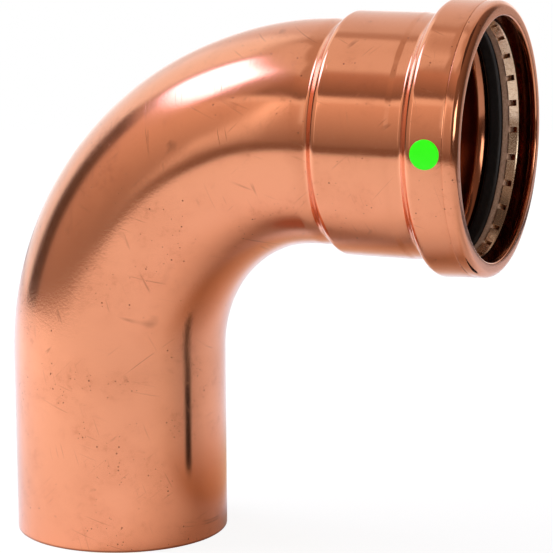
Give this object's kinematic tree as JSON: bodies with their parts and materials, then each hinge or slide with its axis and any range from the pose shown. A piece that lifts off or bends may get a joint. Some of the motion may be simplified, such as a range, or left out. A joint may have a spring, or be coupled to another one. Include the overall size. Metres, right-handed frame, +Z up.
{
  "type": "press fit street elbow",
  "caption": "Copper press-fit street elbow: a plain tube end, a quarter bend and a beaded press socket that holds a rubber seal, a separator ring and a slotted steel grip ring.",
  "frame": {"origin": "centre of the tube end's cut face", "axes": "+Z up the tube end's axis, +X out of the socket's mouth; the bend lies in the XZ plane"},
  "size_m": [0.1583, 0.082, 0.1707],
  "materials": {
    "copper": "satin-polished wrought copper with fine scratches and scuffs",
    "rubber": "moulded black EPDM, faintly glossy",
    "plastic": "moulded brown-grey plastic, satin",
    "steel": "bright stamped stainless steel",
    "dot_paint": "plain green colour-code dot of printed paint"
  },
  "bodies": {
    "root": {"elbow_body": "copper", "sealing_ring": "rubber", "separator_ring": "plastic", "grip_ring": "steel"}
  },
  "joints": []
}
